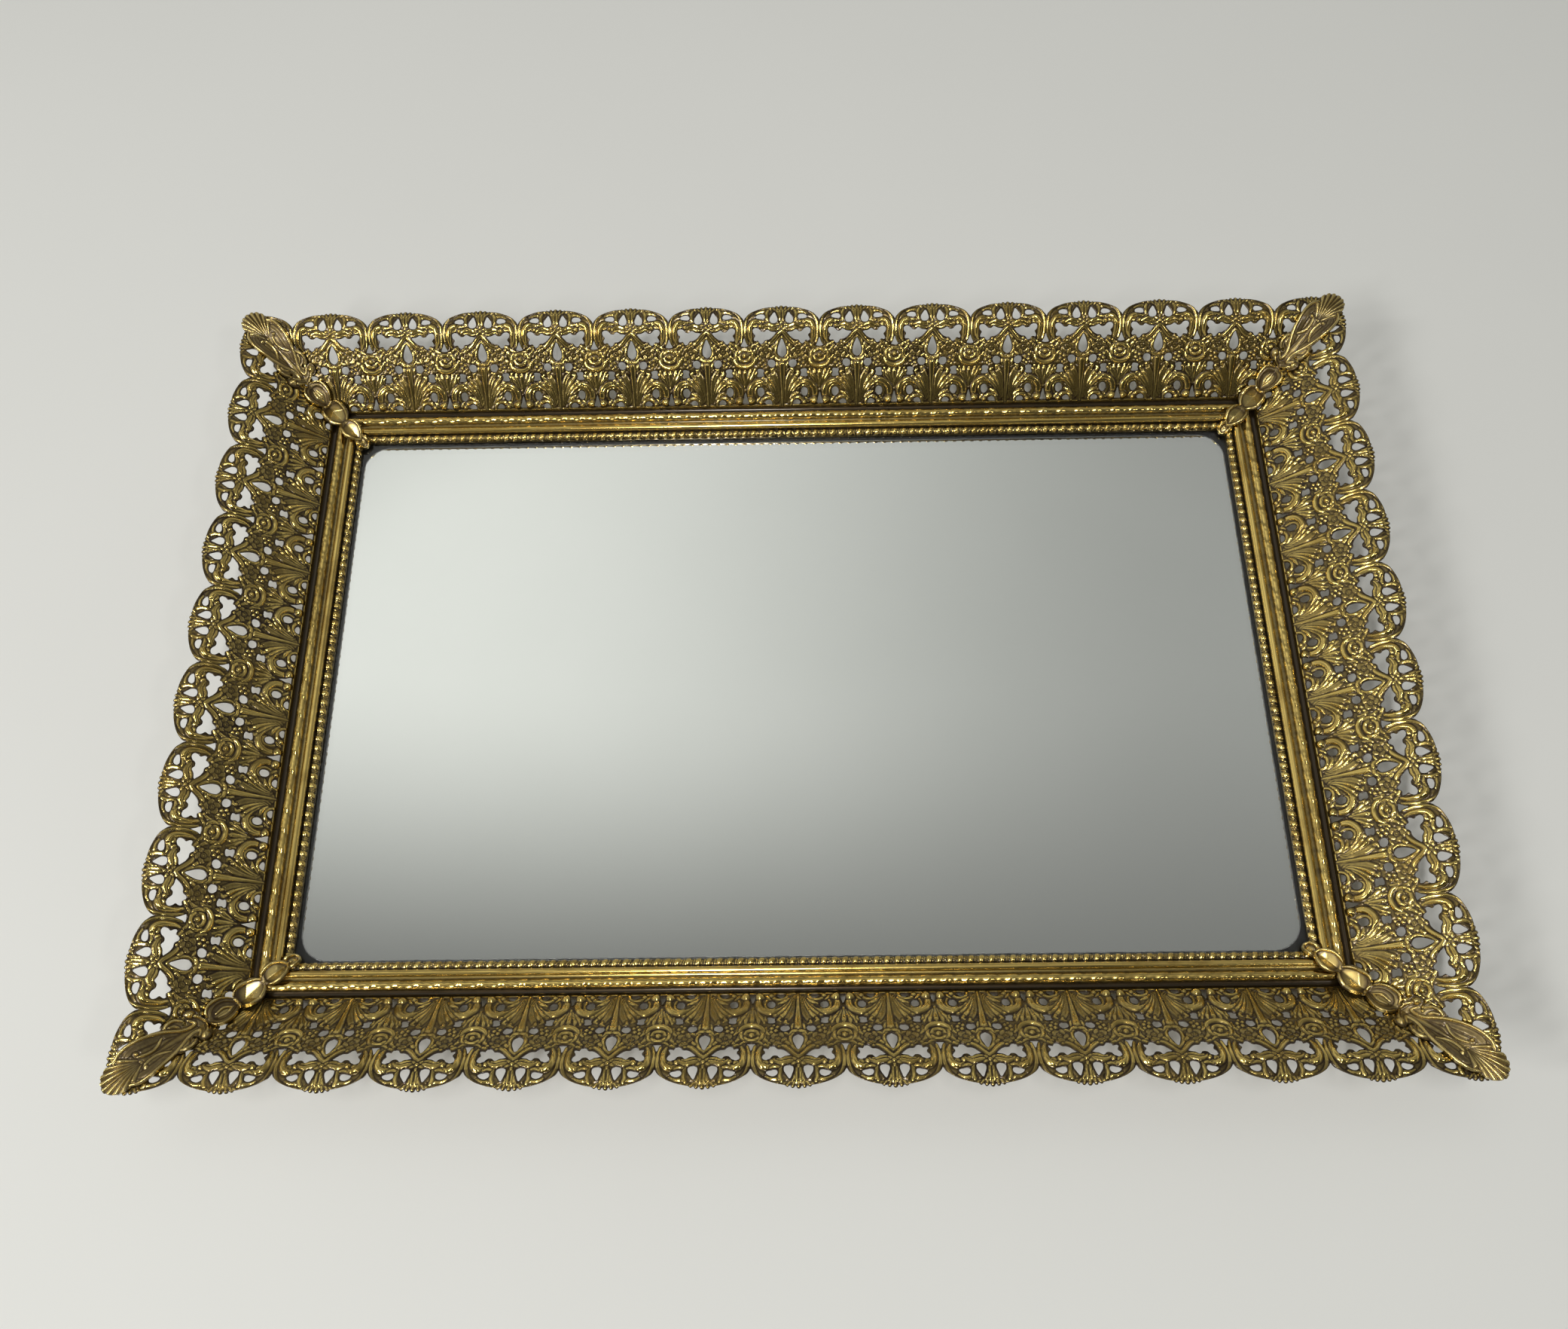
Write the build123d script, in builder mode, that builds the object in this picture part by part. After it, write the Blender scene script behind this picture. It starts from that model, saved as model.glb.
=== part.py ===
from build123d import *
import os
from math import cos, radians, sin, sqrt, tan

os.makedirs("parts", exist_ok=True)

# A dresser vanity tray: a mirror in a narrow moulded brass frame, with a pierced gallery that
# flares up and out from the frame on all four sides. +Z is up, +Y is the back, millimetres.
# The origin is the centre of the tray's underside.

# ---- driving dimensions -------------------------------------------------------------------
lobe_pitch = 30.0            # width of one scalloped lobe of the gallery
base_half_x = 186.5          # centre to the outer face of the left and right rails
base_half_y = 116.0          # centre to the outer face of the front and back rails
felt_thickness = 1.0
flange_thickness = 0.8       # the rails' inward flange, under the board
board_thickness = 2.5
card_thickness = 0.5
glass_thickness = 3.0
lip_thickness = 0.8          # the rails' inner lip, on top of the glass
groove_rise = 3.6            # top of the lip to the groove where the gallery starts
rail_width = 12.3            # outer face to the inner edge of the lip
rail_wall = 1.0
lip_root = 9.2               # outer face to the inner wall that rises from the glass
pane_inset = 6.0             # outer face of a rail to the edge of the glass, card and board
flange_reach = 9.5
bead_strip_edge = 9.7        # outer face to the outer edge of the beaded strip
plain_ridge_middle = 8.4     # outer face to the plain ridge's crown
rope_ridge_middle = 3.9
ridge_rise = 0.6             # the rope ridge's crown above the groove where the gallery starts
sheet = 1.0                  # depth of the stamped gallery, relief included
gallery_slope = 42.2         # degrees above level
slope_length = 0.945 * lobe_pitch
flare_radius = 0.506 * lobe_pitch
hem_depth = 4.2              # the gallery's straight foot, against the rail's outer face
cover_thickness = 1.0
cover_gap = 0.4              # corner cover's underside above the gallery

# ---- levels worked out from the stack ------------------------------------------------------
flange_z = felt_thickness
board_z = flange_z + flange_thickness
card_z = board_z + board_thickness
glass_z = card_z + card_thickness
glass_top = glass_z + glass_thickness
lip_top = glass_top + lip_thickness
groove_z = lip_top + groove_rise
channel_roof = groove_z - 2.9    # underside of the moulding, above the corner keys
hollow = groove_z - 1.5      # bottom of the hollow between the plain ridge and the rope ridge

# How far a lobe's axis stands from the middle of its strip, in pitches, to the right as seen
# from the middle of the tray: the strips are cut from a long run, and not quite centred.
lobe_shift = {"back": -0.12, "front": 0.02, "left": 0.45, "right": 0.47}
outward = {"back": (0, 1), "front": (0, -1), "left": (-1, 0), "right": (1, 0)}
corner_signs = {
    "back_right": (1, 1),
    "back_left": (-1, 1),
    "front_left": (-1, -1),
    "front_right": (1, -1),
}


def half_length(side):
    """Half the length of a side's rail along its outer face."""
    return base_half_x if outward[side][0] == 0 else base_half_y


def section_plane(side, level=0):
    """Plane across a side at its middle: x is outward from the rail's outer face, y is up."""
    out_x, out_y = outward[side]
    out = Vector(out_x, out_y, 0)
    origin = Vector(out_x * base_half_x, out_y * base_half_y, level)
    return Plane(origin=origin, x_dir=out, z_dir=out.cross(Vector(0, 0, 1)))


def mitre_planes(side):
    """The two upright 45 degree planes that end a side, each facing away from the side."""
    across = section_plane(side)
    along = across.z_dir
    ends = []
    for end in (1, -1):
        corner = across.origin + along * (end * half_length(side))
        ends.append(Plane(origin=corner, z_dir=along * end - across.x_dir))
    return ends


def save(part, name):
    part.label = name
    export_step(part, "parts/" + name + ".step")


# ---- mirror stack and felt -----------------------------------------------------------------
def pane(name, inset, bottom, thickness, corner_radius):
    """A flat rounded rectangle that lies inside the rails."""
    with BuildPart() as layer:
        with BuildSketch(Plane.XY.offset(bottom)):
            width = 2 * (base_half_x - inset)
            depth = 2 * (base_half_y - inset)
            RectangleRounded(width, depth, corner_radius)
        extrude(amount=thickness)
    save(layer.part, name)


felt_inset = 1.2             # outer face of a rail to the edge of the felt
felt_corner = 3.0
pane_corner = 2.0
seam = 0.5                   # ground bevel on the glass edge

pane("felt_base", felt_inset, 0, felt_thickness, felt_corner)
pane("backing_board", pane_inset, board_z, board_thickness, pane_corner)
pane("card_spacer", pane_inset, card_z, card_thickness, pane_corner)

with BuildPart() as mirror_glass:
    with BuildSketch(Plane.XY.offset(glass_z)):
        RectangleRounded(2 * (base_half_x - pane_inset), 2 * (base_half_y - pane_inset), pane_corner)
    extrude(amount=glass_thickness)
    chamfer(mirror_glass.edges().group_by(Axis.Z)[-1], length=seam)
save(mirror_glass.part, "mirror_glass")


# ---- rails ---------------------------------------------------------------------------------
def rail(side):
    """One mitred length of moulding: a channel that grips the mirror, with a ridged top."""
    top = groove_z
    inner_edge = (-rail_width, lip_top - 0.1)
    strip_end = (-bead_strip_edge, top - 2.4)
    bead_middle = -(rail_width + bead_strip_edge) / 2
    ridge_start = (-plain_ridge_middle - 1.1, top - 1.9)
    ridge_end = (-plain_ridge_middle + 1.2, top - 1.3)
    rope_start = (-rope_ridge_middle - 1.4, top - 0.8)
    rope_end = (-rope_ridge_middle + 1.4, top - 0.8)
    hollow_middle = (ridge_end[0] + rope_start[0]) / 2
    outer_edge = (-0.2, top - 0.1)
    with BuildPart() as moulding:
        with BuildSketch(section_plane(side)):
            with BuildLine():
                Polyline(outer_edge, (0, top - 0.4), (0, flange_z), (-flange_reach, flange_z))
                Polyline(
                    (-flange_reach, flange_z),
                    (-flange_reach, board_z),
                    (-rail_wall, board_z),
                    (-rail_wall, channel_roof),
                    (-lip_root, channel_roof),
                    (-lip_root, glass_top),
                    (-rail_width, glass_top),
                    inner_edge,
                )
                # beaded strip, plain ridge, hollow, rope ridge and the groove beside the gallery
                ThreePointArc(inner_edge, (bead_middle, top - 2.0), strip_end)
                Line(strip_end, ridge_start)
                ThreePointArc(ridge_start, (-plain_ridge_middle, top - 0.4), ridge_end)
                ThreePointArc(ridge_end, (hollow_middle, hollow), rope_start)
                ThreePointArc(rope_start, (-rope_ridge_middle, top + ridge_rise), rope_end)
                ThreePointArc(rope_end, (rope_end[0] / 2, top - 1.1), outer_edge)
            make_face()
        extrude(amount=half_length(side) + rail_width, both=True)
        for end in mitre_planes(side):
            split(bisect_by=end, keep=Keep.BOTTOM)
    return moulding.part


for side in outward:
    save(rail(side), side + "_rail")


# ---- corner keys ---------------------------------------------------------------------------
key_leg = 24.0
key_plate = 1.4
key_height = 6.5
key_lift = 0.4               # clearance under the key, above the board's underside


def corner_key(sign_x, sign_y):
    """A bent angle plate soldered inside two rails' outer walls, across their mitre."""
    corner_x = base_half_x - rail_wall
    corner_y = base_half_y - rail_wall
    with BuildPart() as key:
        with BuildSketch(Plane.XY.offset(board_z + key_lift)):
            with BuildLine():
                Polyline(
                    (corner_x, corner_y),
                    (corner_x - key_leg, corner_y),
                    (corner_x - key_leg, corner_y - key_plate),
                    (corner_x - key_plate, corner_y - key_plate),
                    (corner_x - key_plate, corner_y - key_leg),
                    (corner_x, corner_y - key_leg),
                    close=True,
                )
            make_face()
        extrude(amount=key_height)
        bend = key.edges().filter_by(Axis.Z).sort_by_distance((corner_x, corner_y, board_z))
        fillet(bend[1], radius=key_plate)
        if sign_x < 0:
            mirror(about=Plane.YZ, mode=Mode.REPLACE)
        if sign_y < 0:
            mirror(about=Plane.XZ, mode=Mode.REPLACE)
    return key.part


for corner, signs in corner_signs.items():
    save(corner_key(*signs), "corner_key_" + corner)


# ---- galleries -----------------------------------------------------------------------------
slope_cos = cos(radians(gallery_slope))
slope_sin = sin(radians(gallery_slope))
flare_start_x = slope_length * slope_cos
flare_start_z = slope_length * slope_sin
rim_x = flare_start_x + flare_radius * slope_sin
rim_z = flare_start_z + flare_radius * (1 - slope_cos)
rim_flat = 1.2               # level edge beyond the flare, for the tips of the crowns


def up_slope(height):
    """Distance up the slope plane of a point at a developed height, given in lobe pitches."""
    developed = height * lobe_pitch
    if developed <= slope_length:
        return developed
    turned = (developed - slope_length) / flare_radius
    return slope_length + flare_radius * sin(turned)


def spot(across, height):
    """A point of the lace on the slope plane, from its place in lobe pitches."""
    return (across * lobe_pitch, up_slope(height))


def slope_plane(side):
    """Plane of the gallery's straight slope: x runs along the strip, y up the slope."""
    across = section_plane(side, groove_z)
    up = across.x_dir * slope_cos + Vector(0, 0, 1) * slope_sin
    along = across.z_dir
    return Plane(origin=across.origin, x_dir=along, z_dir=along.cross(up))


def smooth_pair(points):
    """Both copies of a closed smooth outline, one each side of the lobe's axis."""
    with BuildSketch() as pair:
        with BuildLine():
            Spline(*[spot(across, height) for across, height in points], periodic=True)
        make_face()
        mirror(about=Plane.YZ)
    return pair.sketch


def triangle(half_width, foot, tip):
    """A three-cornered hole on the line between two lobes."""
    with BuildSketch() as hole:
        with BuildLine():
            Polyline(spot(-half_width, foot), spot(half_width, foot), spot(0, tip), close=True)
        make_face()
    return hole.sketch


star_window = [
    (0.09, 0.95),
    (0.20, 0.995),
    (0.265, 0.965),
    (0.33, 1.01),
    (0.38, 0.97),
    (0.355, 0.90),
    (0.32, 0.855),
    (0.265, 0.82),
    (0.22, 0.855),
    (0.13, 0.875),
]
stem_drop = [(0.085, 1.215), (0.135, 1.13), (0.10, 1.08), (0.062, 1.12)]
leaf_window = [(0.24, 0.485), (0.33, 0.49), (0.34, 0.39), (0.25, 0.395)]
# oval holes: place across and up, then half width and half height, all in lobe pitches
rim_oval = (0.26, 1.165, 0.06, 0.038)
palm_tip_hole = (0.14, 0.568, 0.05, 0.052)
scroll_eye = (0.29, 0.195, 0.048, 0.06)
foot_arch = (0.16, 0.062, 0.05, 0.03)

with BuildSketch() as lobe_holes:
    # a teardrop on the axis, under the small flower
    with BuildLine():
        tip = spot(0, 0.88)
        foot = spot(0, 0.65)
        Spline(tip, spot(0.058, 0.735), foot, tangents=[(0.4, -1), (-1, 0)])
        Spline(foot, spot(-0.058, 0.735), tip, tangents=[(-1, 0), (0.4, 1)])
    make_face()
    add(smooth_pair(star_window))
    add(smooth_pair(stem_drop))
    with BuildLine():
        Polyline(*[spot(across, height) for across, height in leaf_window], close=True)
    make_face()
    with BuildLine():
        Polyline(*[spot(-across, height) for across, height in leaf_window], close=True)
    make_face()
    for across, height, half_width, half_height in (rim_oval, palm_tip_hole, scroll_eye, foot_arch):
        rise = (up_slope(height + half_height) - up_slope(height - half_height)) / 2
        with Locations(spot(across, height), spot(-across, height)):
            Ellipse(half_width * lobe_pitch, rise)

with BuildSketch() as joint_holes:
    # between neighbouring lobes: a triangle under the valley and a narrow slot at the foot
    add(triangle(0.045, 0.785, 0.90))
    add(triangle(0.045, 0.035, 0.19))

valley = 1.10                # developed height of the valley between two lobes, in pitches
crest = 1.315
crown_half_width = 0.13 * lobe_pitch     # the small raised crown on each lobe's rim
crown_half_height = 1.5
crown_drop = 1.0


def lace(side):
    """The flat pierced outline of a strip, on its slope plane."""
    reach = half_length(side) / lobe_pitch + 1.2
    first = round(-reach - lobe_shift[side])
    axes = [first + k + lobe_shift[side] for k in range(round(2 * reach) + 1)]
    left = (axes[0] - 0.5) * lobe_pitch
    right = (axes[-1] + 0.5) * lobe_pitch
    below = -hem_depth * 2
    rise = up_slope(crest) - up_slope(valley)
    with BuildSketch() as outline:
        with BuildLine():
            Polyline((left, up_slope(valley)), (left, below), (right, below), (right, up_slope(valley)))
            for axis in axes:
                middle = (axis * lobe_pitch, up_slope(valley))
                EllipticalCenterArc(middle, lobe_pitch / 2, rise, 0, arc_size=180)
        make_face()
        with Locations(*[(axis * lobe_pitch, up_slope(crest) - crown_drop) for axis in axes]):
            Ellipse(crown_half_width, crown_half_height)
        with Locations(*[(axis * lobe_pitch, 0) for axis in axes]):
            add(lobe_holes.sketch, mode=Mode.SUBTRACT)
        with Locations(*[((axis + 0.5) * lobe_pitch, 0) for axis in axes[:-1]]):
            add(joint_holes.sketch, mode=Mode.SUBTRACT)
    return outline.sketch


def gallery(side):
    """One pierced, flared strip with a straight hem against the rail's outer face."""
    flat_lace = lace(side)
    hem_top_z = -sheet * slope_cos + sheet * (1 - slope_sin) * tan(radians(gallery_slope))
    with BuildPart() as strip:
        with BuildSketch(section_plane(side, groove_z)):
            with BuildLine():
                Polyline((0, -hem_depth), (0, 0), (flare_start_x, flare_start_z))
                CenterArc((rim_x, rim_z - flare_radius), flare_radius, 90, gallery_slope)
                Polyline(
                    (rim_x, rim_z),
                    (rim_x + rim_flat, rim_z),
                    (rim_x + rim_flat, rim_z - sheet),
                    (rim_x, rim_z - sheet),
                )
                CenterArc((rim_x, rim_z - flare_radius), flare_radius - sheet, 90, gallery_slope)
                Polyline(
                    (flare_start_x + sheet * slope_sin, flare_start_z - sheet * slope_cos),
                    (sheet, hem_top_z),
                    (sheet, -hem_depth),
                    (0, -hem_depth),
                )
            make_face()
        extrude(amount=half_length(side) + rim_x + 2 * rim_flat, both=True)
        for end in mitre_planes(side):
            split(bisect_by=end, keep=Keep.BOTTOM)
        with BuildSketch(slope_plane(side)):
            add(flat_lace)
        extrude(amount=2 * flare_radius, both=True, mode=Mode.INTERSECT)
    return strip.part


for side in outward:
    save(gallery(side), side + "_gallery")


# ---- corner covers -------------------------------------------------------------------------
def corner_cover(sign_x, sign_y):
    """A stamped leaf, bent to a V along the mitre, folded down over the rails to the lip."""
    # Its section across one side: over the lip, up over the two ridges, then up the gallery.
    ridge_level = groove_z + 0.8
    foot_x = (ridge_level - groove_z - cover_gap / slope_cos) / tan(radians(gallery_slope))
    centre = (rim_x, groove_z + rim_z - flare_radius)
    radius = flare_radius + cover_gap
    start_x = centre[0] - radius * slope_sin
    start_z = centre[1] + radius * slope_cos
    rim_level = centre[1] + radius
    over_rail = [
        (-rail_width - 4.2, lip_top + 0.1),
        (-rail_width - 0.6, lip_top + 0.1),
        (-rail_width + 0.9, groove_z - 1.7),
        (-plain_ridge_middle - 0.4, groove_z - 0.2),
        (-rope_ridge_middle - 1.3, ridge_level),
        (foot_x, ridge_level),
        (start_x, start_z),
    ]
    with BuildPart() as leaf:
        with BuildSketch(section_plane("back")):
            with BuildLine():
                Polyline(*over_rail)
                CenterArc(centre, radius, 90, gallery_slope)
                Polyline(
                    (centre[0], rim_level),
                    (centre[0] + 2, rim_level),
                    (centre[0] + 2, rim_level + cover_thickness),
                    (centre[0], rim_level + cover_thickness),
                )
                raised = (centre[0], centre[1] + cover_thickness)
                CenterArc(raised, radius, 90, gallery_slope)
                Polyline(*[(x, z + cover_thickness) for x, z in over_rail])
                Line(over_rail[0], (over_rail[0][0], over_rail[0][1] + cover_thickness))
            make_face()
        extrude(amount=base_half_x + rim_x + 5)
        toward_side = mitre_planes("back")[0]
        split(bisect_by=toward_side, keep=Keep.BOTTOM)
        mirror(about=toward_side)
        # The outline in plan, along the corner's diagonal from the tab at the lip to the tip.
        corner = (base_half_x, base_half_y, 0)
        with BuildSketch(Plane(origin=corner, x_dir=(1, 1, 0), z_dir=(0, 0, 1))):
            with Locations((-0.60 * lobe_pitch, 0)):
                Circle(0.09 * lobe_pitch)
            with Locations((-0.40 * lobe_pitch, 0)):
                Ellipse(0.15 * lobe_pitch, 0.13 * lobe_pitch)
            with Locations((-0.08 * lobe_pitch, 0)):
                Ellipse(0.19 * lobe_pitch, 0.15 * lobe_pitch)
            with Locations((0.22 * lobe_pitch, 0)):
                Ellipse(0.17 * lobe_pitch, 0.155 * lobe_pitch)
            with Locations((0.45 * lobe_pitch, 0.12 * lobe_pitch), (0.45 * lobe_pitch, -0.12 * lobe_pitch)):
                Circle(0.055 * lobe_pitch)
            with Locations((0.45 * lobe_pitch, 0)):
                Rectangle(0.4 * lobe_pitch, 0.2 * lobe_pitch)
            flank = [(0.45, 0.07), (0.62, 0.12), (0.80, 0.185), (1.0, 0.225), (1.18, 0.205), (1.33, 0.14)]
            left_flank = [(x * lobe_pitch, y * lobe_pitch) for x, y in flank]
            right_flank = [(x, -y) for x, y in left_flank]
            with BuildLine():
                Line(right_flank[0], left_flank[0])
                Spline(*left_flank)
                ThreePointArc(left_flank[-1], (1.43 * lobe_pitch, 0), right_flank[-1])
                Spline(*right_flank)
            make_face()
        extrude(amount=groove_z + rim_z + 10, mode=Mode.INTERSECT)
        if sign_x < 0:
            mirror(about=Plane.YZ, mode=Mode.REPLACE)
        if sign_y < 0:
            mirror(about=Plane.XZ, mode=Mode.REPLACE)
    return leaf.part


for corner, signs in corner_signs.items():
    save(corner_cover(*signs), "corner_cover_" + corner)
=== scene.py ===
"""Looks of a dresser vanity tray: a mirror in a ridged brass frame, stamped and pierced galleries that
flare out from it, and a stamped leaf bent over each mitred corner. Everything is in metres and takes its
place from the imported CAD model."""

from math import atan2, cos, pi, radians, sin, sqrt, tan

import bpy
import numpy as np
from mathutils import Matrix, Vector


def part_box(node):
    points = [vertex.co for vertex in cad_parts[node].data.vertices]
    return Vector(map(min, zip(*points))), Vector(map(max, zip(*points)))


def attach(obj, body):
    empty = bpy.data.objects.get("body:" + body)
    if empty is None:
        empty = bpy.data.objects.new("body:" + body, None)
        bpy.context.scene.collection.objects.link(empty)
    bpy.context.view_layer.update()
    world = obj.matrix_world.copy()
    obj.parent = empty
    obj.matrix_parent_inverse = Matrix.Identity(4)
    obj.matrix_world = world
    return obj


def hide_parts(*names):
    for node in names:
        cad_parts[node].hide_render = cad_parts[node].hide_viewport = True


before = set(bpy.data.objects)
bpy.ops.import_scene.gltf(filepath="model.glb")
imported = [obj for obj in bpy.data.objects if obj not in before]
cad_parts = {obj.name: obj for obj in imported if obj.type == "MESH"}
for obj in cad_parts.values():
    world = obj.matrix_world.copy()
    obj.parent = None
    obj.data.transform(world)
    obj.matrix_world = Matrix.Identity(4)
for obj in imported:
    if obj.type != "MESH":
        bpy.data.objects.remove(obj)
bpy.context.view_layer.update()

# ---- places read from the frame --------------------------------------------------------------
MM = 0.001
PITCH = 30.0 * MM                        # width of one scalloped lobe, and the stamped patterns' unit
BASE_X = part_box("back_rail")[1].x        # middle of the tray to the rails' outer faces
BASE_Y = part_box("back_rail")[1].y
RAIL_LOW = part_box("back_rail")[0].z
RAIL_WIDTH = BASE_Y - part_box("back_rail")[0].y
GLASS_LOW, GLASS_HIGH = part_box("mirror_glass")[0].z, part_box("mirror_glass")[1].z
PANE_X, PANE_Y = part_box("mirror_glass")[1].x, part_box("mirror_glass")[1].y
FELT_X, FELT_Y, FELT_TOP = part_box("felt_base")[1]

# The gallery's section: a straight hem down the rail, a straight slope, then a flare to level.
SLOPE = radians(42.2)
SLOPE_RUN = 0.945 * PITCH
FLARE_RADIUS = 0.506 * PITCH
RIM_RISE = SLOPE_RUN * sin(SLOPE) + FLARE_RADIUS * (1 - cos(SLOPE))
RIM_REACH = SLOPE_RUN * cos(SLOPE) + FLARE_RADIUS * sin(SLOPE)
GROOVE_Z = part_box("back_gallery")[1].z - RIM_RISE
HEM = GROOVE_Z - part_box("back_gallery")[0].z
LIP_TOP = GLASS_HIGH + 0.8 * MM
METAL = 0.45 * MM                        # thickness of the stamped brass

# A lobe's axis from the middle of its strip, in pitches, to the right as seen from the tray's middle.
LOBE_SHIFT = {"back": -0.12, "front": 0.02, "left": 0.45, "right": 0.47}
OUTWARD = {"back": (0, 1), "front": (0, -1), "left": (-1, 0), "right": (1, 0)}
CORNERS = {"back_right": (1, 1), "back_left": (-1, 1), "front_left": (-1, -1), "front_right": (1, -1)}
rng = np.random.default_rng(7)


# ---- dies: height fields for the stamped relief ----------------------------------------------
def smooth_path(points, count=28):
    """A Catmull-Rom curve through a few points."""
    if len(points) == 2:
        return np.linspace(points[0], points[1], 6)
    p = np.array([points[0], *points, points[-1]], float)
    p[0] = 2 * p[1] - p[2]
    p[-1] = 2 * p[-2] - p[-3]
    t = np.linspace(0, 1, max(3, count // (len(points) - 1)), endpoint=False)[:, None]
    return np.concatenate([spline_span(*p[i:i + 4], t) for i in range(len(points) - 1)] + [p[-2][None]])


def spline_span(a, b, c, d, t):
    """One span of a Catmull-Rom curve, from b to c."""
    return 0.5 * (2 * b + (c - a) * t + (2 * a - 5 * b + 4 * c - d) * t**2 + (3 * b - a - 3 * c + d) * t**3)


def closed_path(points, steps=10):
    """A closed Catmull-Rom curve through a few points."""
    p = np.array(points, float)
    t = np.linspace(0, 1, steps, endpoint=False)[:, None]
    count = len(p)
    return np.concatenate(
        [spline_span(p[i - 1], p[i], p[(i + 1) % count], p[(i + 2) % count], t) for i in range(count)]
    )


def inside_distance(x, y, outline):
    """Distance from a closed outline, negative inside it."""
    near = np.full(x.shape, 9.0)
    odd = np.zeros(x.shape, bool)
    for (ax, ay), (bx, by) in zip(outline, np.roll(outline, -1, 0)):
        ex, ey = bx - ax, by - ay
        t = np.clip(((x - ax) * ex + (y - ay) * ey) / (ex * ex + ey * ey + 1e-15), 0, 1)
        near = np.minimum(near, np.hypot(x - ax - t * ex, y - ay - t * ey))
        crosses = (ay > y) != (by > y)
        odd ^= crosses & (x < ax + (y - ay) * ex / np.where(ey == 0, 1e-15, ey))
    return np.where(odd, -near, near)


class Die:
    """A height field in lobe pitches. Each press raises its own form and cuts a groove round it, which is
    painted dark.

    The polish share is 1 where a form stands proud and gets rubbed bright, and 0 in the grooves, where the
    dark is partly tarnish and partly painted shade."""

    GROOVE = 0.015

    def __init__(self, x_range, y_range, ground, steepest=0.85, step=0.004):
        self.step = step
        self.steepest = steepest
        self.xs = np.arange(x_range[0], x_range[1] + step / 2, step)
        self.ys = np.arange(y_range[0], y_range[1] + step / 2, step)
        self.x, self.y = np.meshgrid(self.xs, self.ys)
        self.height = np.full_like(self.x, ground)
        self.polish_and_shade = np.full_like(self.x, 0.25)

    def window(self, points, pad):
        """The rows and columns within pad of some points."""
        low, high = points.min(0) - pad, points.max(0) + pad
        left, right = np.searchsorted(self.xs, [low[0], high[0]])
        bottom, top = np.searchsorted(self.ys, [low[1], high[1]])
        return slice(bottom, top), slice(left, right)

    def press(self, window, edge, rise, dome, gloss=1.0):
        """The form, rise * dome, replaces what is inside edge; outside, the surface falls into a groove."""
        share = np.clip(edge / self.GROOVE, 0, 1)
        share = share * share * (3 - 2 * share)
        self.height[window] = np.where(edge < 0, rise * dome, self.height[window] * share)
        # painted shade: the polish falls to 0 in the groove round each form, and gilt() paints it dark,
        # partly as tarnish and partly as shade
        self.polish_and_shade[window] = np.where(edge < 0, dome * gloss, self.polish_and_shade[window] * share)

    def stroke(self, points, widths, height, form="round", gloss=1.0):
        """A raised band along a curve. widths are half widths, spread evenly along it."""
        path = smooth_path(points)
        half = np.interp(np.linspace(0, 1, len(path)), np.linspace(0, 1, len(widths)), widths)
        window = self.window(path, half.max() + self.GROOVE)
        x, y = self.x[window], self.y[window]
        if not x.size:
            return
        nearest = np.full(x.shape, 9.0)
        edge = np.full(x.shape, 9.0)
        rise = np.full(x.shape, height)
        for i in range(len(path) - 1):
            ax, ay = path[i]
            ex, ey = path[i + 1] - path[i]
            t = np.clip(((x - ax) * ex + (y - ay) * ey) / (ex * ex + ey * ey + 1e-12), 0, 1)
            across = np.hypot(x - ax - t * ex, y - ay - t * ey)
            width = half[i] + (half[i + 1] - half[i]) * t
            rise = np.where(across / width < nearest, np.minimum(height, self.steepest * width), rise)
            nearest = np.minimum(nearest, across / width)
            edge = np.minimum(edge, across - width)
        q = np.clip(nearest, 0, 1)
        dome = 1 - q * q
        if form == "roof":
            dome = 1 - q
        elif form == "vein":
            dome = dome - 0.40 * np.exp(-((q / 0.28) ** 2))
        elif form == "spoon":
            dome = dome * (0.35 + 1.1 * q * q)
        self.press(window, edge, rise, dome, gloss)

    def ball(self, at, radius, height, squash=1.0, gloss=1.0):
        window = self.window(np.array([at], float), radius * max(1, squash) + self.GROOVE)
        q = np.hypot((self.x[window] - at[0]) / squash, self.y[window] - at[1]) / radius
        rise = min(height, self.steepest * radius)
        self.press(window, (q - 1) * radius, rise, 1 - np.clip(q, 0, 1) ** 2, gloss)

    def rose(self, at, radius, height, turn=0.0, petals=5):
        """A ring of cupped petals round a small boss."""
        for k in range(petals):
            angle = turn + 2 * pi * k / petals
            start = (at[0] + 0.60 * radius * cos(angle - 0.5), at[1] + 0.60 * radius * sin(angle - 0.5))
            middle = (at[0] + 0.74 * radius * cos(angle), at[1] + 0.74 * radius * sin(angle))
            end = (at[0] + 0.60 * radius * cos(angle + 0.5), at[1] + 0.60 * radius * sin(angle + 0.5))
            widths = [0.22 * radius, 0.34 * radius, 0.22 * radius]
            self.stroke([start, middle, end], widths, height, "spoon")
        self.ball(at, 0.36 * radius, height * 1.25)
        self.ball(at, 0.13 * radius, height * 0.75)

    def sample(self, field, x, y):
        """A field's values at any points, by bilinear weights."""
        fx = np.clip((x - self.xs[0]) / self.step, 0, len(self.xs) - 1.001)
        fy = np.clip((y - self.ys[0]) / self.step, 0, len(self.ys) - 1.001)
        i, j = fx.astype(int), fy.astype(int)
        u, v = fx - i, fy - j
        low = field[j, i] * (1 - u) + field[j, i + 1] * u
        high = field[j + 1, i] * (1 - u) + field[j + 1, i + 1] * u
        return low * (1 - v) + high * v


# ---- the gallery's lobe: half of it, from its axis at 0 to the joint with its neighbour at 0.5 ---
RELIEF = 0.040
VALLEY = 1.10
CREST = 1.305
EDGE_TARNISH_AND_SHADE = 0.028                     # how far the darkening creeps in from a cut edge: partly tarnish, partly painted shade
CROWN = ((0, 1.308, 0.024), (0.062, 1.306, 0.020), (0.118, 1.298, 0.016))


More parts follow.
